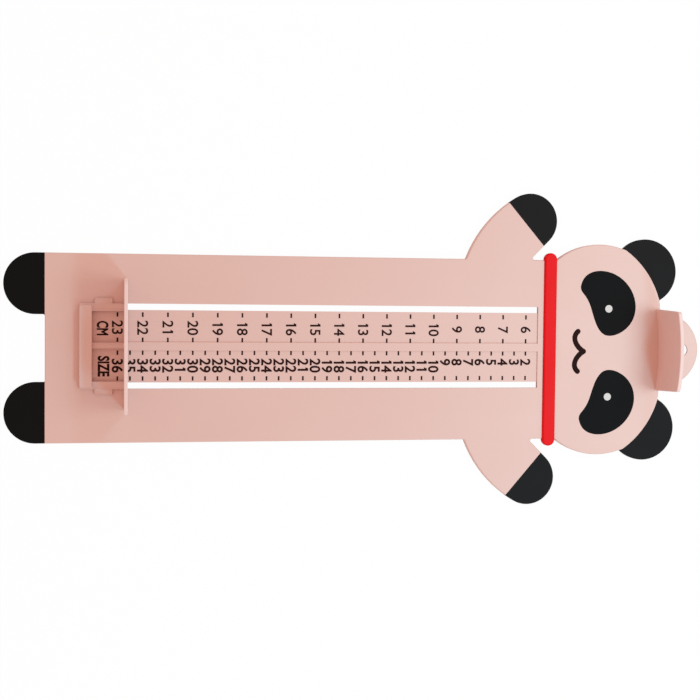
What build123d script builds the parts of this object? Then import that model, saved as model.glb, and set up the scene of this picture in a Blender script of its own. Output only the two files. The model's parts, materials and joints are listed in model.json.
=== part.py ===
from build123d import *
from math import atan2, cos, degrees, radians, sin, sqrt
import os

# Foot measuring gauge in the outline of a lying panda, all sizes in millimetres.
# +X runs from the panda's feet to its head, +Z is up and the gauge lies on Z = 0.
# The child's heel stands against the heel stop and the toe plate slides up to the toes.
# "Reading" is the distance from the heel stop's face towards the feet of the panda.

# ------------------------------------------------------------------ driving sizes
# scale
cm_pitch = 10.0
size_pitch = 5.0
first_cm = 6
last_cm = 23
scale_shift = 0.3               # the scale is printed this far towards the head
tick_width = 0.65
cm_tick_length = 1.8
size_tick_length = 1.7
ink_thickness = 0.1
cm_rows = (12.7, 2.6)           # both rows of centimetre ticks, from the ruler's middle
size_rows = (-12.95, -2.6)      # both rows of size ticks

# board
board_thickness = 3.0
channel_depth = 1.3
ruler_recess = 0.5
body_width = 75.8
ruler_offset = 0.9              # the ruler runs this far off the body's centre line
ruler_width = 29.1
rib_width = 3.3
slot_width = 2.55
slot_head_end = 54.5            # reading at which the slots end
channel_overrun = 3.0           # the keeper's channel runs on past both ends of the slots
tail_length = 13.8              # solid board behind the slots
plan_round = 0.8                # inside and outside corners of the outline
top_round = 0.5
bottom_round = 0.3

# feet, hands and arms
foot_radius = 12.2
foot_neck = 3.75
hand_radius = 11.55
hand_reading = 58.2
hand_reach = 54.25
hand_cuff_angle = 40.7
hand_cuff_offset = 2.4
hand_flare = 1.0                # the wrist is wider than the hand by less than this, each side
arm_sweep_radius = 51.6
arm_sweep_angle = 120.6
armpit_angle = 45.0

# head, ears and hanging loop
cheek_radius = 30.2
cheek_reading = 27.3
cheek_offset = 14.7
cheek_end_angle = 67.2
crown_radius = 38.7
crown_half_width = 19.5
crown_overhang = 0.3
ear_radius = 13.9
ear_inset = 12.65               # from the corner of cheek and crown to the ear's centre
ear_inset_angle = -45.3
loop_radius = 15.75
loop_overhang = 2.1
hang_hole_radius = 2.75
hang_hole_overhang = 10.4
hang_relief_radius = 4.6        # thinned from below around the hanging hole
hang_relief_depth = 2.2

# inserts and inlays
seam = 0.1
lap_length = 6.0
lap_width = 12.0
lap_thickness = 1.2
lap_clearance = 0.1
inlay_depth = 1.0
dot_depth = 0.5
eye_offset = -1.3               # the eyes' middle, off the centre line
# each point of the face: its reading and its distance from the middle of eyes or mouth
patch_points = [
    (35.6, 28.5),
    (32.9, 33.1),
    (20.9, 33.7),
    (11.0, 20.3),
    (14.5, 11.0),
    (24.9, 7.9),
    (29.1, 13.7),
    (33.5, 24.1),
]
eye_dot = (23.0, 18.85)
eye_dot_radius = 1.6
mouth_offset = -0.7             # the mouth's middle, off the centre line
mouth_points = [(34.05, 0.0), (36.7, 2.25), (38.05, 5.8), (36.65, 8.5)]
mouth_width = 2.05

# scarf
scarf_width = 5.5
scarf_length = 81.8
scarf_reading = 49.3
scarf_groove_depth = 1.5
scarf_rise = 0.9
scarf_round = 0.8

# heel stop
heel_radius = 105.0
heel_width = 35.0
heel_top_width = 33.2
heel_height = 22.0
heel_thickness = 1.6
heel_corner_radius = 1.2
heel_rim_round = 0.4
heel_tenon_length = 6.0
heel_tenon_thickness = 1.0
heel_tenon_angle = 5.5
tenon_clearance = 0.05

# slider
toe_plate_lead = 4.35           # the plate's face stops this far short of the last centimetre
toe_plate_thickness = 1.45
toe_plate_width = 52.4
toe_plate_offset = 0.6          # from the ruler's middle
toe_plate_height = 24.8
toe_plate_corner_radius = 3.0
toe_plate_round = 0.35
window_length = 12.5
grip_length = 4.95
grip_height = 3.2
grip_inset = 0.8                # the rails show beside the grip
grip_overhang = 1.0             # the grip hides the slots' rear ends
grip_corner_radius = 1.2
grip_scoop_radius = 6.0
grip_scoop_depth = 0.5
grip_round = 0.3
rail_height = 1.2
rail_overhang = 0.45            # the rail laps past the leg, over the slot's outer edge
rail_lip = 0.5                  # the rail's cap overlaps the ruler's edge by this much
bar_width = 2.4                 # over the ruler's rib
bar_offset = 0.3                # from the ruler's middle
tab_length = 7.0
tab_reach = 2.2
tab_height = 0.8
tab_gap = 0.9                   # between the tabs and the grip
slide_gap = 0.2
leg_side_gap = 0.4
end_gap = 0.65
keeper_thickness = 0.9
keeper_overlap = 3.6
keeper_setback = 1.0
keeper_side_gap = 0.8
leg_tenon_length = 4.0
leg_tenon_thickness = 1.3

# ------------------------------------------------------------------ derived places
plate_reading = last_cm * cm_pitch - toe_plate_lead
rail_reading = plate_reading + toe_plate_thickness
grip_reading = rail_reading + window_length
slider_rear_reading = grip_reading + grip_length
leg_rear_reading = slider_rear_reading - grip_overhang
slot_rear_end = leg_rear_reading + end_gap
body_end = slot_rear_end + tail_length
foot_reading = body_end + foot_neck
overall_length = foot_reading + foot_radius + loop_overhang + loop_radius
heel_x = overall_length / 2 - loop_overhang - loop_radius
slider_travel = rail_reading - slot_head_end - end_gap

body_half = body_width / 2
foot_offset = body_half - foot_radius
ruler_y = ruler_offset
slot_offset = (ruler_width + slot_width) / 2
slot_length = slot_rear_end - slot_head_end
slot_middle = (slot_rear_end + slot_head_end) / 2
ruler_top = board_thickness - ruler_recess
slider_bottom = board_thickness + slide_gap
keeper_top = channel_depth - slide_gap
keeper_bottom = keeper_top - keeper_thickness
keeper_width = ruler_width + 2 * slot_width + 2 * keeper_overlap
lap_bottom = (board_thickness - lap_thickness) / 2


def at(reading):
    """X of a reading on the scale."""
    return heel_x - reading


def polar(centre, radius, angle):
    """The point at an angle, in degrees, on a circle."""
    turn = radians(angle)
    return (centre[0] + radius * cos(turn), centre[1] + radius * sin(turn))


# ------------------------------------------------------------------ outlines
hand_centre = (at(hand_reading), hand_reach)
sweep_centre = polar(hand_centre, hand_radius - arm_sweep_radius, arm_sweep_angle)
shoulder_rise = body_half - sweep_centre[1]
shoulder = (sweep_centre[0] - sqrt(arm_sweep_radius**2 - shoulder_rise**2), body_half)
shoulder_angle = degrees(atan2(shoulder_rise, shoulder[0] - sweep_centre[0]))
cuff = polar(hand_centre, -hand_cuff_offset, hand_cuff_angle)
armpit = polar(hand_centre, hand_radius, -armpit_angle)
arm_root = body_half - foot_radius

cheek_centre = (at(cheek_reading), cheek_offset)
neck_x = at(scarf_reading)
neck_rise = sqrt(cheek_radius**2 - (neck_x - cheek_centre[0]) ** 2)
neck_angle = degrees(atan2(neck_rise, neck_x - cheek_centre[0]))
crown_start = polar(cheek_centre, cheek_radius, cheek_end_angle)
crown_end = (at(-crown_overhang), crown_half_width)
ear_centre = polar(crown_start, ear_inset, ear_inset_angle)

with BuildSketch() as arms:
    with BuildLine():
        sweep = ThreePointArc(
            shoulder,
            polar(sweep_centre, arm_sweep_radius, (shoulder_angle + arm_sweep_angle) / 2),
            polar(hand_centre, hand_radius, arm_sweep_angle),
        )
        ThreePointArc(
            sweep @ 1,
            polar(hand_centre, hand_radius, (arm_sweep_angle - armpit_angle) / 2),
            armpit,
        )
        Polyline(
            armpit,
            (armpit[0] - armpit[1] + arm_root, arm_root),
            (shoulder[0], arm_root),
            shoulder,
        )
    make_face()
    mirror(about=Plane.XZ)

with BuildSketch() as head:
    with BuildLine():
        cheek = ThreePointArc(
            polar(cheek_centre, cheek_radius, neck_angle),
            polar(cheek_centre, cheek_radius, (neck_angle + cheek_end_angle) / 2),
            crown_start,
        )
        crown = RadiusArc(crown_start, crown_end, crown_radius)
        Polyline(crown_end, (crown_end[0], 0), (neck_x, 0), cheek @ 0)
    make_face()
    mirror(about=Plane.XZ)

with BuildSketch() as outline:
    with Locations((at(body_end), 0)):
        Rectangle(
            body_end - scarf_reading + scarf_width / 2,
            body_width,
            align=(Align.MIN, Align.CENTER),
        )
    with Locations((at(foot_reading), foot_offset), (at(foot_reading), -foot_offset)):
        Circle(foot_radius)
        Rectangle(foot_neck + foot_radius, 2 * foot_radius, align=(Align.MIN, Align.CENTER))
    add(arms.sketch)
    add(head.sketch)
    with Locations(ear_centre, (ear_centre[0], -ear_centre[1])):
        Circle(ear_radius)
    with Locations((at(-loop_overhang), 0)):
        Circle(loop_radius)

with BuildPart() as blank:
    add(outline.sketch)
    extrude(amount=board_thickness)
    fillet(blank.edges().filter_by(Axis.Z), plan_round)
    fillet(blank.edges().group_by(Axis.Z)[-1], top_round)
    fillet(blank.edges().group_by(Axis.Z)[0], bottom_round)


# ------------------------------------------------------------------ shared features
sides = {"left": 1, "right": -1}
ear_seat = crown @ 0.5
crown_slope = crown % 0.5
ear_angle = degrees(atan2(crown_slope.Y, crown_slope.X)) + 90


def spot(x, y, angle, side):
    """A point on an insert's boundary, turned to face outwards."""
    return Location((x, side * y, 0), (0, 0, side * angle))


def insert_spots(side):
    """Where the foot, the hand and the ear of one side join the board."""
    return {
        "foot": spot(at(body_end), foot_offset, 180, side),
        "hand": spot(cuff[0], cuff[1], hand_cuff_angle, side),
        "ear": spot(ear_seat.X, ear_seat.Y, ear_angle, side),
    }


def insert_region(name, side, gap):
    """Outline of an insert in plan, a gap short of the board; it may run past the board's edge."""
    if name == "ear":
        with Locations((ear_centre[0], side * ear_centre[1])):
            Circle(ear_radius + seam)
        offset(head.sketch, amount=gap, mode=Mode.SUBTRACT)
        return
    reach = {"foot": foot_radius + foot_neck, "hand": hand_radius + hand_cuff_offset}[name]
    half_width = {"foot": foot_radius, "hand": hand_radius + hand_flare}[name]
    with Locations(insert_spots(side)[name] * Location((gap, 0, 0))):
        Rectangle(reach + seam, 2 * (half_width + seam), align=(Align.MIN, Align.CENTER))


def tongue_outline(name, side, grow):
    """Tongue that joins an insert to the board, seen from above."""
    with Locations(insert_spots(side)[name]):
        Rectangle(2 * (lap_length + grow), lap_width + 2 * grow)


def patch_outline(side, grow):
    """Eye patch: a bean with its hollow side towards the nose, grown away from the eye's dot."""
    dot = Vector(at(eye_dot[0]), eye_offset + side * eye_dot[1])
    points = []
    for reading, away in patch_points:
        ray = Vector(at(reading), eye_offset + side * away) - dot
        points.append(dot + ray.normalized() * (ray.length + grow))
    with BuildLine() as bean:
        Spline(*points, periodic=True)
    make_face(bean.edges())


def dot_outline(side, grow):
    """White of an eye."""
    with Locations((at(eye_dot[0]), eye_offset + side * eye_dot[1])):
        Circle(eye_dot_radius + grow)


def mouth_outline(grow):
    """Two hooks that meet in the middle, drawn with a round pen."""
    pen = mouth_width + 2 * grow
    for side in sides.values():
        points = [(at(reading), mouth_offset + side * away) for reading, away in mouth_points]
        with BuildLine() as lip:
            Spline(*points)
        trace(lip.edges(), line_width=pen)
        with Locations(points[0], points[-1]):
            Circle(pen / 2)


def scarf_outline(grow):
    """Bar with round ends across the neck."""
    with Locations((at(scarf_reading), 0)):
        SlotOverall(scarf_length + 2 * grow, scarf_width + 2 * grow, rotation=90)


def heel_tenons(grow):
    """Feet of the heel stop, either side of its middle, square to its curve."""
    with Locations((at(heel_radius), 0)):
        with PolarLocations(
            heel_radius + heel_thickness / 2,
            2,
            start_angle=-heel_tenon_angle,
            angular_range=2 * heel_tenon_angle,
            endpoint=True,
        ):
            Rectangle(heel_tenon_thickness + 2 * grow, heel_tenon_length + 2 * grow)


# ------------------------------------------------------------------ board
with BuildPart() as board:
    add(blank.part)
    # feet, hands and ears are inserts, held by tongues at half the board's thickness
    for side in sides.values():
        for name in insert_spots(side):
            with BuildSketch():
                insert_region(name, side, 0)
            extrude(amount=board_thickness, mode=Mode.SUBTRACT)
            with BuildSketch(Plane.XY.offset(lap_bottom)):
                tongue_outline(name, side, 0)
            extrude(amount=lap_thickness)
    # pockets for the face
    with BuildSketch(Plane.XY.offset(board_thickness)):
        for side in sides.values():
            patch_outline(side, seam)
    extrude(amount=-inlay_depth, mode=Mode.SUBTRACT)
    with BuildSketch(Plane.XY.offset(board_thickness)):
        mouth_outline(seam)
    extrude(amount=-inlay_depth, mode=Mode.SUBTRACT)
    # groove for the scarf
    with BuildSketch(Plane.XY.offset(board_thickness)):
        scarf_outline(seam)
    extrude(amount=-scarf_groove_depth, mode=Mode.SUBTRACT)
    # sunk ruler on both sides of its rib
    with BuildSketch(Plane.XY.offset(board_thickness)):
        with Locations((at(slot_middle), ruler_y)):
            Rectangle(slot_length, ruler_width)
            Rectangle(slot_length, rib_width, mode=Mode.SUBTRACT)
    extrude(amount=-ruler_recess, mode=Mode.SUBTRACT)
    # slots for the slider's legs, and the channel below them for its keeper
    with BuildSketch():
        with Locations((at(slot_middle), ruler_y)):
            with GridLocations(slot_length, 2 * slot_offset, 1, 2):
                Rectangle(slot_length, slot_width)
    extrude(amount=board_thickness, mode=Mode.SUBTRACT)
    with BuildSketch():
        with Locations((at(slot_middle), ruler_y)):
            Rectangle(slot_length + 2 * channel_overrun, keeper_width + 2 * keeper_side_gap)
    extrude(amount=channel_depth, mode=Mode.SUBTRACT)
    # mortises of the heel stop and the hanging hole
    with BuildSketch():
        heel_tenons(tenon_clearance)
        with Locations((at(-hang_hole_overhang), 0)):
            Circle(hang_hole_radius)
    extrude(amount=board_thickness, mode=Mode.SUBTRACT)
    with BuildSketch():
        with Locations((at(-hang_hole_overhang), 0)):
            Circle(hang_relief_radius)
    extrude(amount=hang_relief_depth, mode=Mode.SUBTRACT)

pieces = {"board": board}

# ------------------------------------------------------------------ feet, hands and ears
for side_name, side in sides.items():
    for name in insert_spots(side):
        with BuildPart() as insert:
            add(blank.part)
            with BuildSketch():
                insert_region(name, side, seam)
            extrude(amount=board_thickness, mode=Mode.INTERSECT)
            with BuildSketch(Plane.XY.offset(lap_bottom - lap_clearance)):
                tongue_outline(name, side, lap_clearance)
            extrude(amount=lap_thickness + 2 * lap_clearance, mode=Mode.SUBTRACT)
        pieces[f"{name}_{side_name}"] = insert

# ------------------------------------------------------------------ face
for side_name, side in sides.items():
    with BuildPart() as patch:
        with BuildSketch(Plane.XY.offset(board_thickness)):
            patch_outline(side, 0)
        extrude(amount=-inlay_depth)
        with BuildSketch(Plane.XY.offset(board_thickness)):
            dot_outline(side, seam)
        extrude(amount=-dot_depth, mode=Mode.SUBTRACT)
    with BuildPart() as dot:
        with BuildSketch(Plane.XY.offset(board_thickness)):
            dot_outline(side, 0)
        extrude(amount=-dot_depth)
    pieces[f"eye_patch_{side_name}"] = patch
    pieces[f"eye_dot_{side_name}"] = dot

with BuildPart() as mouth:
    with BuildSketch(Plane.XY.offset(board_thickness)):
        mouth_outline(0)
    extrude(amount=-inlay_depth)
pieces["mouth"] = mouth

# ------------------------------------------------------------------ scarf
with BuildPart() as scarf:
    with BuildSketch(Plane.XY.offset(board_thickness - scarf_groove_depth)):
        scarf_outline(0)
    extrude(amount=scarf_groove_depth + scarf_rise)
    fillet(scarf.edges().group_by(Axis.Z)[-1], scarf_round)
pieces["scarf"] = scarf

# ------------------------------------------------------------------ heel stop
with BuildPart() as heel_stop:
    with BuildSketch(Plane.XY.offset(board_thickness)):
        with Locations((at(heel_radius), 0)):
            Circle(heel_radius + heel_thickness)
            Circle(heel_radius, mode=Mode.SUBTRACT)
        with Locations((at(0), 0)):
            Rectangle(heel_radius, heel_width, mode=Mode.INTERSECT)
    extrude(amount=heel_height)
    with BuildSketch(Plane.YZ.offset(at(heel_radius))) as heel_front:
        with BuildLine():
            Polyline(
                (-heel_width / 2, board_thickness),
                (heel_width / 2, board_thickness),
                (heel_top_width / 2, board_thickness + heel_height),
                (-heel_top_width / 2, board_thickness + heel_height),
                close=True,
            )
        make_face()
        fillet(heel_front.vertices().group_by(Axis.Y)[-1], heel_corner_radius)
    extrude(amount=2 * heel_radius, mode=Mode.INTERSECT)
    fillet(heel_stop.edges().group_by(Axis.Z)[-1], heel_rim_round)
    with BuildSketch(Plane.XY.offset(board_thickness)):
        heel_tenons(0)
    extrude(amount=-board_thickness)
pieces["heel_stop"] = heel_stop

# ------------------------------------------------------------------ slider frame
leg_width = slot_width - 2 * leg_side_gap
rail_outer = slot_offset + leg_width / 2 + rail_overhang
rail_width = rail_outer - ruler_width / 2 + rail_lip
rail_offset = rail_outer - rail_width / 2
frame_length = slider_rear_reading - rail_reading
frame_middle = (slider_rear_reading + rail_reading) / 2
leg_length = leg_rear_reading - rail_reading
leg_middle = (leg_rear_reading + rail_reading) / 2
tab_reading = grip_reading - tab_gap - tab_length / 2
grip_middle = grip_reading + grip_length / 2
grip_width = 2 * (rail_outer - grip_inset)


def leg_tenon_spots():
    """Two tenons under each leg, from the middle of the frame."""
    return GridLocations(frame_length / 2, 2 * slot_offset, 2, 2)


with BuildPart() as slider_frame:
    # rails over the slots, a bar over the ruler's rib, and lower tabs that ride on the board
    with BuildSketch(Plane.XY.offset(slider_bottom)):
        with Locations((at(slider_rear_reading), ruler_y)):
            with Locations((0, rail_offset), (0, -rail_offset)):
                Rectangle(
                    slider_rear_reading - plate_reading,
                    rail_width,
                    align=(Align.MIN, Align.CENTER),
                )
            with Locations((0, bar_offset)):
                Rectangle(frame_length, bar_width, align=(Align.MIN, Align.CENTER))
    extrude(amount=rail_height)
    with BuildSketch(Plane.XY.offset(slider_bottom)):
        with Locations((at(tab_reading), ruler_y)):
            with GridLocations(tab_length, 2 * rail_outer + tab_reach, 1, 2):
                Rectangle(tab_length, tab_reach)
    extrude(amount=tab_height)
    # grip across the rear, hollowed for a thumb
    with BuildSketch(Plane.XY.offset(slider_bottom)) as grip_plan:
        with Locations((at(grip_middle), ruler_y)):
            Rectangle(grip_length, grip_width)
        fillet(grip_plan.vertices().group_by(Axis.X)[0], grip_corner_radius)
    extrude(amount=grip_height)
    fillet(slider_frame.edges().group_by(Axis.Z)[-1], grip_round)
    with BuildSketch(Plane.XZ.offset(-ruler_y)):
        with Locations(
            (at(grip_middle), slider_bottom + grip_height - grip_scoop_depth + grip_scoop_radius)
        ):
            Circle(grip_scoop_radius)
    extrude(amount=grip_width, both=True, mode=Mode.SUBTRACT)
    # legs through the slots, with tenons for the keeper
    with BuildSketch(Plane.XY.offset(slider_bottom)):
        with Locations((at(leg_middle), ruler_y)):
            with GridLocations(leg_length, 2 * slot_offset, 1, 2):
                Rectangle(leg_length, leg_width)
    extrude(amount=keeper_top - slider_bottom)
    with BuildSketch(Plane.XY.offset(keeper_top)):
        with Locations((at(frame_middle), ruler_y)):
            with leg_tenon_spots():
                Rectangle(leg_tenon_length, leg_tenon_thickness)
    extrude(amount=-keeper_thickness)
pieces["slider_frame"] = slider_frame

# ------------------------------------------------------------------ keeper under the board
with BuildPart() as slider_keeper:
    with BuildSketch(Plane.XY.offset(keeper_bottom)):
        with Locations((at(frame_middle), ruler_y)):
            Rectangle(frame_length - 2 * keeper_setback, keeper_width)
            with leg_tenon_spots():
                Rectangle(
                    leg_tenon_length + 2 * tenon_clearance,
                    leg_tenon_thickness + 2 * tenon_clearance,
                    mode=Mode.SUBTRACT,
                )
    extrude(amount=keeper_thickness)
pieces["slider_keeper"] = slider_keeper

# ------------------------------------------------------------------ toe plate
with BuildPart() as toe_plate:
    with BuildSketch(Plane.YZ.offset(at(rail_reading))) as plate_face:
        with Locations((ruler_y + toe_plate_offset, slider_bottom)):
            Rectangle(toe_plate_width, toe_plate_height, align=(Align.CENTER, Align.MIN))
        fillet(plate_face.vertices().group_by(Axis.Y)[-1], toe_plate_corner_radius)
    extrude(amount=toe_plate_thickness)
    rims = toe_plate.faces().sort_by(Axis.X)
    fillet(rims[0].edges().sort_by(Axis.Z)[1:] + rims[-1].edges().sort_by(Axis.Z)[1:], toe_plate_round)
    with BuildSketch(Plane.YZ.offset(at(rail_reading))):
        with Locations((ruler_y, slider_bottom)):
            with Locations((rail_offset, 0), (-rail_offset, 0)):
                Rectangle(
                    rail_width + 2 * tenon_clearance,
                    2 * (rail_height + tenon_clearance),
                )
    extrude(amount=toe_plate_thickness, mode=Mode.SUBTRACT)
pieces["toe_plate"] = toe_plate


# ------------------------------------------------------------------ printed scale
def tick_rows(pitch, count, rows, length):
    """Two rows of ticks on the sunk ruler, at given distances from its middle."""
    middle_reading = (first_cm + last_cm) / 2 * cm_pitch - scale_shift
    with Locations((at(middle_reading), ruler_y + sum(rows) / 2)):
        with GridLocations(pitch, abs(rows[0] - rows[1]), count, 2):
            Rectangle(tick_width, length)


cm_count = round(last_cm - first_cm) + 1
with BuildPart() as cm_marks:
    with BuildSketch(Plane.XY.offset(ruler_top)):
        tick_rows(cm_pitch, cm_count, cm_rows, cm_tick_length)
    extrude(amount=ink_thickness)
pieces["cm_marks"] = cm_marks

size_count = round((last_cm - first_cm) * cm_pitch / size_pitch) + 1
with BuildPart() as size_marks:
    with BuildSketch(Plane.XY.offset(ruler_top)):
        tick_rows(size_pitch, size_count, size_rows, size_tick_length)
    extrude(amount=ink_thickness)
pieces["size_marks"] = size_marks

# ------------------------------------------------------------------ files
os.makedirs("parts", exist_ok=True)
for name, piece in pieces.items():
    piece.part.label = name
    export_step(piece.part, f"parts/{name}.step")
print(f"overall length {overall_length:.1f}, heel stop at X {heel_x:.1f}, travel {slider_travel:.1f}")
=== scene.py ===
# %% [markdown]
# # A child's foot gauge in the outline of a lying panda
#
# The gauge is a flat moulded board with a printed ruler, a fixed heel stop and a toe
# plate that slides along two slots. Its solids come packed, in metres, from the CAD
# model. This lesson gives them their finishes, models what a CAD file leaves out, and
# sets up the light and the camera.

import json
import math

import bpy
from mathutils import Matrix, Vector

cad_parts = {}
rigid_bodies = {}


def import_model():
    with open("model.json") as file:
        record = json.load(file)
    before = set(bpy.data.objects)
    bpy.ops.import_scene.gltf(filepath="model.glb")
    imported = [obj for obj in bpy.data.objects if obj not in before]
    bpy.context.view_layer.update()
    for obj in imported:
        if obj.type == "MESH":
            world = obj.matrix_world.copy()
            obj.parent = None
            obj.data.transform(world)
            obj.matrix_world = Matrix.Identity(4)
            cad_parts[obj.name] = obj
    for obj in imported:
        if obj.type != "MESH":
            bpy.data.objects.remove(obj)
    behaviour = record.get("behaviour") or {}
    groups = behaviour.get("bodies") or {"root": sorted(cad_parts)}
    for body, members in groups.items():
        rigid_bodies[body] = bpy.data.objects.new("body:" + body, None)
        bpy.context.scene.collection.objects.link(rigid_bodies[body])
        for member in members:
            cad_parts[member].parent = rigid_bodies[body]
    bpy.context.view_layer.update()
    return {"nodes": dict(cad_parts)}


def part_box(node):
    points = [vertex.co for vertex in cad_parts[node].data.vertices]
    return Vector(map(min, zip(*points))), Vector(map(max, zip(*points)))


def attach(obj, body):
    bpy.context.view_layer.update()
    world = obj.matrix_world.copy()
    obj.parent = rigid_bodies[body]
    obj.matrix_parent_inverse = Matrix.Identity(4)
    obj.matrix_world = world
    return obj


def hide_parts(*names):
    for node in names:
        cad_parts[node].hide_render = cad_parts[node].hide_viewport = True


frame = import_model()
nodes = frame["nodes"]
print("nodes:", ", ".join(sorted(nodes)))

# %% [markdown]
# Everything below is written in millimetres, as on a drawing, and turned to metres by
# `MM`. A reading on the ruler is the distance from the heel stop's face, so `at()`
# finds its place along X from the last printed tick. The centimetre scale's middle lies
# `SCALE_MIDDLE` from the ruler's.

# %% Millimetres and readings
MM = 0.001
marks_low, marks_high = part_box("cm_marks")
LAST_TICK = 229.7
TICK_WIDTH = 0.65
SCALE_MIDDLE = 7.65
HEEL_FACE = marks_low.x + (LAST_TICK + TICK_WIDTH / 2) * MM
RULER_Y = (marks_low.y + marks_high.y) / 2 - SCALE_MIDDLE * MM
RULER_TOP = marks_low.z


def at(reading):
    """X of a reading in millimetres."""
    return HEEL_FACE - reading * MM


print(f"heel face {HEEL_FACE / MM:.2f}, ruler Y {RULER_Y / MM:.2f}, top {RULER_TOP / MM:.2f}")

# %% [markdown]
# Operators act on all that is selected, and loading leaves every node selected. One
# helper clears that, and one picks out a single object.


# %% Selecting
def nothing():
    """Deselects every object."""
    for thing in bpy.context.scene.objects:
        thing.select_set(False)


def only(thing):
    """Selects one object and makes it the active one."""
    nothing()
    thing.select_set(True)
    bpy.context.view_layer.objects.active = thing
    return thing


nothing()
print("selected:", len(bpy.context.selected_objects))

# %% [markdown]
# ## Shader sums as Python sums
#
# A finish is worked out from noise and positions, so it needs sums on sockets. The
# class below wraps a socket and overloads the operators, and each sum adds a Math
# node. Any other node comes from `Finish.node`, which sets the node's own settings
# first and its sockets after.


# %% A socket that can be added and multiplied
class Wire:
    """A shader value that takes part in Python sums."""

    def __init__(self, socket):
        self.socket = socket

    def math(self, operation, *values):
        """A Math node that takes wires and plain numbers."""
        tree = self.socket.id_data
        made = tree.nodes.new("ShaderNodeMath")
        made.operation = operation
        for place, value in zip(made.inputs, values):
            if isinstance(value, Wire):
                tree.links.new(value.socket, place)
            else:
                place.default_value = value
        return Wire(made.outputs[0])

    def __add__(self, other):
        return self.math("ADD", self, other)

    def __radd__(self, other):
        return self.math("ADD", other, self)

    def __sub__(self, other):
        return self.math("SUBTRACT", self, other)

    def __mul__(self, other):
        return self.math("MULTIPLY", self, other)

    def clamped(self):
        """The value, kept between 0 and 1."""
        return self.math("MINIMUM", self.math("MAXIMUM", self, 0.0), 1.0)


# %% A material whose nodes come from one method
class Finish:
    """A principled material and the nodes that feed it."""

    def __init__(self, name):
        self.material = bpy.data.materials.new(name)
        self.material.use_nodes = True
        self.tree = self.material.node_tree
        self.shader = self.tree.nodes["Principled BSDF"]
        self.place = Wire(self.node("ShaderNodeTexCoord").outputs["Object"])

    def socket(self, node, name):
        """The visible socket of a node that has this name."""
        return next(s for s in node.inputs if s.enabled and s.name == name)

    def feed(self, node, name, value):
        """Links a wire to a socket, or sets the socket's own value."""
        place = self.socket(node, name)
        if isinstance(value, Wire):
            self.tree.links.new(value.socket, place)
        else:
            place.default_value = value

    def node(self, kind, settings=(), sockets=()):
        """A new node with its own settings and its sockets."""
        made = self.tree.nodes.new(kind)
        for name, value in dict(settings).items():
            setattr(made, name, value)
        for name, value in dict(sockets).items():
            self.feed(made, name, value)
        return made

    def noise(self, size, detail=2.0, stretch=(1, 1, 1)):
        """Noise with lumps of a size in millimetres, between 0 and 1."""
        mapped = self.node(
            "ShaderNodeMapping", sockets={"Vector": self.place, "Scale": stretch}
        )
        made = self.node(
            "ShaderNodeTexNoise",
            sockets={
                "Vector": Wire(mapped.outputs[0]),
                "Scale": 1 / (size * MM),
                "Detail": detail,
            },
        )
        return Wire(made.outputs[0])

    def mix(self, factor, first, second):
        """A colour between two others."""
        made = self.node("ShaderNodeMix", {"data_type": "RGBA"})
        self.feed(made, "Factor", factor)
        self.feed(made, "A", first)
        self.feed(made, "B", second)
        return Wire(next(s for s in made.outputs if s.enabled))

    def bump(self, height, distance):
        """A height between 0 and 1 as a relief of a depth in millimetres."""
        made = self.node(
            "ShaderNodeBump",
            sockets={"Height": height, "Distance": distance * MM, "Strength": 1.0},
        )
        return Wire(made.outputs[0])

    def give(self, **values):
        """Feeds the principled shader; an underscore stands for a space."""
        for name, value in values.items():
            self.feed(self.shader, name.replace("_", " "), value)
        return self.material


print("helpers ready")

# %% [markdown]
# ## Colours
#
# A screen colour is written with its curve, and a shader wants it without. `tone`
# takes the three numbers that a colour picker shows.


# %% Colours as a colour picker shows them
def tone(red, green, blue):
    """A linear colour with alpha from three numbers up to 255."""
    straight = []
    for part in (red / 255, green / 255, blue / 255):
        curved = part > 0.04045
        straight.append(((part + 0.055) / 1.055) ** 2.4 if curved else part / 12.92)
    return (*straight, 1.0)


PINK = tone(220, 178, 168)
PINK_WARM = tone(217, 173, 162)
# Painted light: a paler copy of the pink for the upright walls, lifting their shaded faces and
# standing in for the highlight on their tops.
PINK_PAINTED_LIGHT = tone(234, 199, 194)
PINK_PAINTED_LIGHT_WARM = tone(231, 194, 187)
print("pink", [round(part, 3) for part in PINK])

# %% [markdown]
# ## Moulded pink plastic
#
# The board, the slider and the heel stop are injection moulded in one satin pink. The
# colour is even, with a faint cloudiness from the flow of the melt. The mould's
# spark-eroded surface leaves a fine grain of about a quarter of a millimetre, and hands
# leave slightly shinier patches. Flow lines run along the board, so their noise is
# stretched that way. The upright walls get a paler copy of the pink, which is painted
# light: it lifts their shaded faces and is a painted highlight along their tops. They are
# also duller, and the slider, from a polished tool, is the shiniest.


# %% The pink plastic
def moulded(name, light, deep, roughness, grain, gloss=0.5):
    """Satin injection-moulded plastic with a grain of a depth in millimetres."""
    made = Finish(name)
    cloud = made.noise(38, 3.0, (0.45, 1, 1))
    flow = made.noise(9, 2.0, (0.12, 1, 1))
    tint = ((cloud - 0.5) * 1.4 + (flow - 0.5) * 0.5 + 0.5).clamped()
    handled = made.noise(22, 4.0)
    fine = made.noise(0.28, 1.0)
    soft = made.noise(2.4, 2.0)
    return made.give(
        Base_Color=made.mix(tint, light, deep),
        Roughness=roughness + (handled - 0.5) * 0.14 + (fine - 0.5) * 0.06,
        Normal=made.bump(fine * 0.6 + soft * 0.4, grain),
        IOR=1.49,
        Specular_IOR_Level=gloss,
    )


pink_plastic = moulded("pink_plastic", PINK, PINK_WARM, 0.45, 0.012, 0.9)
slider_plastic = moulded("slider_pink_plastic", PINK, PINK_WARM, 0.32, 0.008, 1.0)
# The upright walls' plastic: a paler, painted-light copy of the pink, with duller gloss.
wall_plastic_painted_light = moulded("wall_pink_painted_light_plastic", PINK_PAINTED_LIGHT, PINK_PAINTED_LIGHT_WARM, 0.5, 0.008, 0.5)
print("pink plastic has", len(pink_plastic.node_tree.nodes), "nodes")
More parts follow.
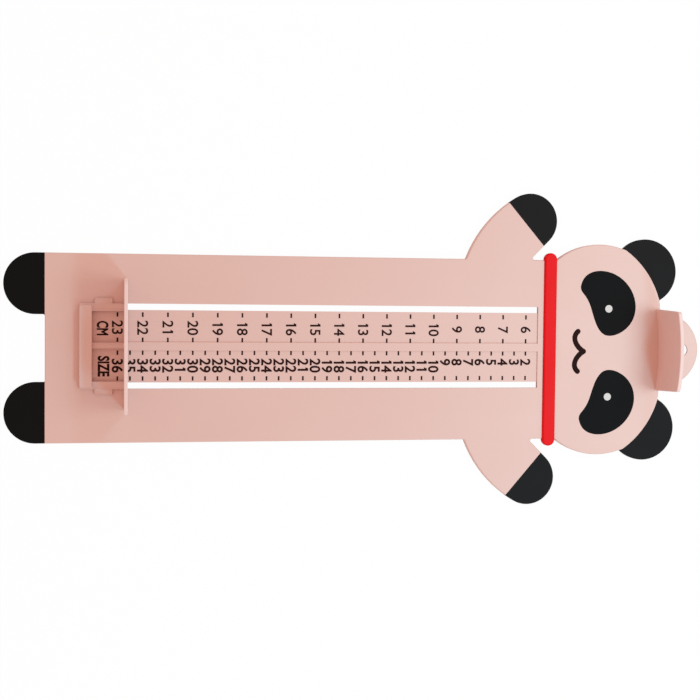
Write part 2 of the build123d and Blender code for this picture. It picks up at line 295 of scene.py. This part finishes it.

# %% [markdown]
# The feet and the eye patches are of a deep black. The hands and ears get a lighter copy
# of that black, which is painted light: it stands in for the light they catch. The mouth
# is a very dark brown, like the ink.

# %% The black, brown, white and red plastics
black_plastic = moulded("black_plastic", tone(11, 8, 9), tone(8, 6, 7), 0.6, 0.012, 0.1)
# Painted light: the hands' and ears' black is lighter to stand in for the light they catch.
limb_plastic_painted_light = moulded("limb_black_painted_light_plastic", tone(27, 25, 26), tone(23, 21, 22), 0.6, 0.012, 0.1)
mouth_plastic = moulded("brown_plastic", tone(36, 6, 5), tone(32, 5, 4), 0.6, 0.008, 0.1)
white_plastic = moulded("white_plastic", tone(212, 203, 200), tone(206, 197, 194), 0.5, 0.008)
red_plastic = moulded("red_plastic", tone(228, 8, 16), tone(221, 6, 14), 0.45, 0.006, 0.15)
print("made", black_plastic.name, white_plastic.name, red_plastic.name)

# %% [markdown]
# ## Printed ink
#
# The scale is pad printed: a thin dark brown film that is a little uneven at the edge
# of a mark and slightly duller than the plastic.

# %% The ink
ink = Finish("ink")
speckle = ink.noise(0.5, 3.0)
printed_ink = ink.give(
    Base_Color=ink.mix(speckle, tone(30, 5, 5), tone(48, 12, 10)),
    Roughness=0.6 + (speckle - 0.5) * 0.3,
    Normal=ink.bump(speckle, 0.01),
    Specular_IOR_Level=0.1,
)
print("ink ready")

# %% [markdown]
# ## Dressing the CAD nodes
#
# A node keeps its mesh. Only its material slot changes.


# %% Dress the nodes
def dress(names, material):
    """Gives CAD nodes a material."""
    for name in names:
        mesh = nodes[name].data
        mesh.materials.clear()
        mesh.materials.append(material)


dress(["board", "slider_keeper"], pink_plastic)
dress(["slider_frame"], slider_plastic)
# The heel stop and toe plate get the paler pink, which is painted light.
dress(["heel_stop", "toe_plate"], wall_plastic_painted_light)
dress([n for n in nodes if n.startswith(("foot", "eye_patch"))], black_plastic)
# Hands and ears get the lighter black, which is painted light.
dress([n for n in nodes if n.startswith(("hand", "ear"))], limb_plastic_painted_light)
dress(["mouth"], mouth_plastic)
dress([n for n in nodes if n.startswith("eye_dot")], white_plastic)
dress(["scarf"], red_plastic)
dress(["cm_marks", "size_marks"], printed_ink)
print("dressed", len(nodes), "nodes")

# %% [markdown]
# ## Broken edges on the small mouldings
#
# The CAD solids of the slider and its keeper have sharp edges, and a moulding never
# has: every edge is broken by a tenth or two of a millimetre, which is what catches the
# light along a rail. Each gets a copy to stand in for it. A mesh from CAD has its own
# points for every face, so they are merged first. A limited dissolve then joins the
# triangles of each flat face, and a bevel rounds the edges that are left. The tops of
# the slider's rails, bar and tabs are dished a little inside a raised lip, as such a
# frame is to keep its walls even. The copy is cut across at the grip's front first,
# because the strips of rail beside the grip are too narrow for a lip.


# %% A copy with rounded edges
LIP_WIDTH = 0.45
DISH_DEPTH = 0.25
GRIP_LENGTH = 4.96
MERGE = 0.001
LEVEL_SLACK = 0.02
grip_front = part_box("slider_frame")[0].x + GRIP_LENGTH * MM


def broken_edges(name, body, width, material, dished=()):
    """A CAD node's rounded copy; dished gives the heights of its tops that have a lip."""
    only(nodes[name])
    bpy.ops.object.duplicate()
    piece = only(bpy.context.object)
    piece.name = piece.data.name = name + "_moulding"
    bpy.ops.object.mode_set(mode="EDIT")
    bpy.ops.mesh.select_all(action="SELECT")
    bpy.ops.mesh.remove_doubles(threshold=MERGE * MM)
    bpy.ops.mesh.dissolve_limited(angle_limit=math.radians(1))
    bpy.ops.mesh.normals_make_consistent(inside=False)
    bpy.ops.mesh.bisect(plane_co=(grip_front, 0, 0), plane_no=(1, 0, 0))
    bpy.ops.mesh.select_mode(type="FACE")
    bpy.ops.mesh.select_all(action="DESELECT")
    bpy.ops.object.mode_set(mode="OBJECT")
    for face in piece.data.polygons:
        level = any(abs(face.center.z - height) < LEVEL_SLACK * MM for height in dished)
        face.select = level and face.normal.z > 0.99 and face.center.x > grip_front
    bpy.ops.object.mode_set(mode="EDIT")
    if dished:
        bpy.ops.mesh.inset(thickness=LIP_WIDTH * MM, depth=-DISH_DEPTH * MM, use_individual=True)
    bpy.ops.object.mode_set(mode="OBJECT")
    round_off = piece.modifiers.new("broken_edges", "BEVEL")
    round_off.width = width * MM
    round_off.segments = 3
    round_off.limit_method = "ANGLE"
    round_off.angle_limit = math.radians(35)
    round_off.harden_normals = False
    bpy.ops.object.modifier_apply(modifier=round_off.name)
    bpy.ops.object.shade_smooth_by_angle(angle=math.radians(32))
    piece.data.materials.clear()
    piece.data.materials.append(material)
    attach(piece, body)
    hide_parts(name)
    print(name, "copy:", len(piece.data.polygons), "faces")


RAIL_HEIGHT, TAB_HEIGHT = 1.2, 0.8
slider_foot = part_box("toe_plate")[0].z
tops = (slider_foot + RAIL_HEIGHT * MM, slider_foot + TAB_HEIGHT * MM)
broken_edges("slider_frame", "slider", 0.14, slider_plastic, tops)
broken_edges("slider_keeper", "slider", 0.12, pink_plastic)

# %% [markdown]
# ## Numbers on the ruler
#
# The centimetres run from 6 to 23 and the sizes from 2 to 36, every 5 mm, with their
# tops towards the heel stop. Each number is typed with Blender's own plain typeface,
# which has simple strokes like a scale's. It is made a mesh before it is scaled and
# turned, and its extrusion becomes the 0.1 mm of ink. A small bevel swells the strokes
# where the print is bold. That typeface's 1 is a bare bar, so an acute accent becomes its
# flag. `GLYPH_HEIGHT` is a digit's height and `CELL` its width, in units of text. The
# double points along the outlines are merged, so every character is a closed solid.


# %% One number or word as a film of ink
INK_THICKNESS = 0.1
GLYPH_HEIGHT = 0.691
CELL = 0.5
FLAG = "\u00b4"
ONE_SHIFT, FLAG_SHIFT, FLAG_RISE = 0.045, 0.04, 0.028


def glyph(character, swell, across=0.0, up=0.0):
    """Characters as a mesh one unit thick, moved within their line of text."""
    nothing()
    bpy.ops.object.text_add(location=(0, 0, 0))
    letter = bpy.context.object
    letter.data.body = character
    letter.data.extrude = 0.5 - swell
    letter.data.bevel_depth = swell
    letter.data.bevel_resolution = 0
    letter.data.resolution_u = 5
    bpy.ops.object.convert(target="MESH")
    letter = only(bpy.context.object)
    letter.location = (across, up, 0)
    bpy.ops.object.transform_apply(location=True, rotation=False, scale=False)
    return letter


def merged(letters):
    """Several meshes joined into the first."""
    nothing()
    for letter in letters:
        letter.select_set(True)
    bpy.context.view_layer.objects.active = letters[0]
    if len(letters) > 1:
        bpy.ops.object.join()
    return only(letters[0])


def number(value, swell):
    """A number, digit by digit; a one is moved within its cell and gets a flag."""
    letters = []
    for place, digit in enumerate(str(value)):
        cell = CELL * place
        if digit == "1":
            letters.append(glyph(digit, swell, cell + ONE_SHIFT))
            letters.append(glyph(FLAG, swell, cell + FLAG_SHIFT, FLAG_RISE))
        else:
            letters.append(glyph(digit, swell, cell))
    return merged(letters)


def printed(words, reading, from_middle, height, stretch, width=0.0):
    """Lays a line of text on the ruler so that it reads towards -Y."""
    scale = height / GLYPH_HEIGHT * MM
    words.scale = (scale * stretch, scale, INK_THICKNESS * MM)
    words.rotation_euler = (0, 0, -math.pi / 2)
    words.location = (
        at(reading) - height / 2 * MM,
        RULER_Y + from_middle * MM + width / 2 * scale * stretch,
        RULER_TOP + INK_THICKNESS / 2 * MM,
    )
    only(words)
    bpy.ops.object.transform_apply(location=True, rotation=True, scale=True)
    return words


def film(name, words):
    """Joins printed words into one piece, closes their outlines and inks them."""
    piece = merged(words)
    piece.name = piece.data.name = name
    bpy.ops.object.mode_set(mode="EDIT")
    bpy.ops.mesh.select_all(action="SELECT")
    bpy.ops.mesh.remove_doubles(threshold=2 * MERGE * MM)
    bpy.ops.mesh.normals_make_consistent(inside=False)
    bpy.ops.object.mode_set(mode="OBJECT")
    piece.data.materials.clear()
    piece.data.materials.append(printed_ink)
    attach(piece, "base")
    return piece


print("a number is a film of", INK_THICKNESS, "mm")

# %% The centimetres, centred on their ticks
SHIFT = 0.3
DIGIT_HEIGHT = 4.15
FIRST_CM, LAST_CM = 6, 23
CM_PLACE, CM_SWELL = 7.45, 0.012
centimetres = []
for cm in range(FIRST_CM, LAST_CM + 1):
    words = number(cm, CM_SWELL)
    width = CELL * len(str(cm))
    centimetres.append(printed(words, 10 * cm - SHIFT, CM_PLACE, DIGIT_HEIGHT, 1.0, width))
cm_numbers = film("cm_numbers", centimetres)
print("centimetre numbers:", len(cm_numbers.data.polygons), "faces")

# %% The sizes, lined up on their first digit
FIRST_SIZE, LAST_SIZE = 2, 36
SIZE_ZERO, SIZE_STEP = 50, 5
SIZE_START, SIZE_SWELL, SIZE_STRETCH = -4.8, 0.02, 0.98
sizes = []
for size in range(FIRST_SIZE, LAST_SIZE + 1):
    words = number(size, SIZE_SWELL)
    reading = SIZE_ZERO + SIZE_STEP * size - SHIFT
    sizes.append(printed(words, reading, SIZE_START, DIGIT_HEIGHT, SIZE_STRETCH))
size_numbers = film("size_numbers", sizes)
print("size numbers:", len(size_numbers.data.polygons), "faces")

# %% What the two scales are called, in the slider's windows
NAME_HEIGHT = 4.2
CM_WIDTH, SIZE_WIDTH = 1.44, 1.75
names = [
    printed(glyph("CM", 0.03), 235.5, 7.25, NAME_HEIGHT, 0.66, CM_WIDTH),
    printed(glyph("SIZE", 0.035), 235.1, -7.8, NAME_HEIGHT, 0.73, SIZE_WIDTH),
]
scale_names = film("scale_names", names)
print("scale names:", len(scale_names.data.polygons), "faces")

# %% [markdown]
# ## Floor, light and camera
#
# The floor is pale and matt. It shows nearly white to the camera and takes and throws
# light as a pale surface. Three lamps stand above the head end: the near and the far one
# rake along the upright walls and the top one evens out the middle. The lamps are cool
# and the studio around is warm, which keeps the pink warm in its shadows.

# %% Floor
FLOOR_SIZE, FLOOR_GAP = 6, 0.3
bpy.ops.mesh.primitive_plane_add(size=FLOOR_SIZE, location=(0, 0, -FLOOR_GAP * MM))
floor = bpy.context.object
floor.name = "floor"
pale = Finish("pale_floor")
rays = pale.node("ShaderNodeLightPath")
glow = pale.node("ShaderNodeEmission", sockets={"Color": (1, 1, 1, 1), "Strength": 1.0})
pale.give(Base_Color=(0.86, 0.86, 0.86, 1.0), Roughness=0.9)
blend = pale.node("ShaderNodeMixShader")
seen = Wire(rays.outputs["Is Camera Ray"]) * 0.97
pale.tree.links.new(seen.socket, blend.inputs[0])
pale.tree.links.new(pale.shader.outputs[0], blend.inputs[1])
pale.tree.links.new(glow.outputs[0], blend.inputs[2])
pale.tree.links.new(blend.outputs[0], pale.tree.nodes["Material Output"].inputs["Surface"])
floor.data.materials.append(pale.material)
print("floor", floor.dimensions)

# %% Lamps
def soft_box(name, place, size, power, colour=(0.2, 0.78, 1.0)):
    """A square lamp at a place in millimetres that looks at the head end of the board."""
    target = Vector((60 * MM, 0, 0))
    lamp = bpy.data.lights.new(name, "AREA")
    lamp.size = size * MM
    lamp.energy = power
    lamp.color = colour
    holder = bpy.data.objects.new(name, lamp)
    bpy.context.scene.collection.objects.link(holder)
    holder.location = Vector(place) * MM
    away = holder.location - target
    holder.rotation_euler = away.to_track_quat("Z", "Y").to_euler()


soft_box("soft_box_near", (250, -400, 470), 100, 1.35)
soft_box("soft_box_far", (250, 400, 470), 100, 0.62)
soft_box("soft_box_top", (332, -18, 460), 220, 0.82, (0.6, 0.93, 1.0))
print("lamps ready")

# %% The studio around, warm in its light and plain white to the eye
world = bpy.data.worlds.new("studio")
bpy.context.scene.world = world
world.use_nodes = True
tree = world.node_tree
sight = tree.nodes.new("ShaderNodeLightPath")
tint = tree.nodes.new("ShaderNodeMix")
tint.data_type = "RGBA"
warm, white = (place for place in tint.inputs if place.enabled and place.name in "AB")
warm.default_value = (1, 0.74, 0.64, 1)
white.default_value = (1.1, 1.1, 1.1, 1)
tree.links.new(sight.outputs["Is Camera Ray"], tint.inputs["Factor"])
background = tree.nodes["Background"]
background.inputs["Strength"].default_value = 0.88
tree.links.new(next(end for end in tint.outputs if end.enabled), background.inputs["Color"])
print("studio ready")

# %% Camera
camera_data = bpy.data.cameras.new("camera")
camera = bpy.data.objects.new("camera", camera_data)
bpy.context.scene.collection.objects.link(camera)
bpy.context.scene.camera = camera
CAMERA_READING, CAMERA_Y, CAMERA_HEIGHT = 226.93, 20.305, 519.955
CAMERA_TURN = (-2.352, -10.0351, 0.55975)
camera.location = (at(CAMERA_READING), CAMERA_Y * MM, CAMERA_HEIGHT * MM)
camera.rotation_euler = [math.radians(angle) for angle in CAMERA_TURN]
camera_data.lens = 65.469
camera_data.sensor_width = 36
camera_data.clip_start = 0.01
print("camera at", [round(c / MM, 1) for c in camera.location])

# %% Finish
bpy.context.scene.view_settings.view_transform = "Standard"
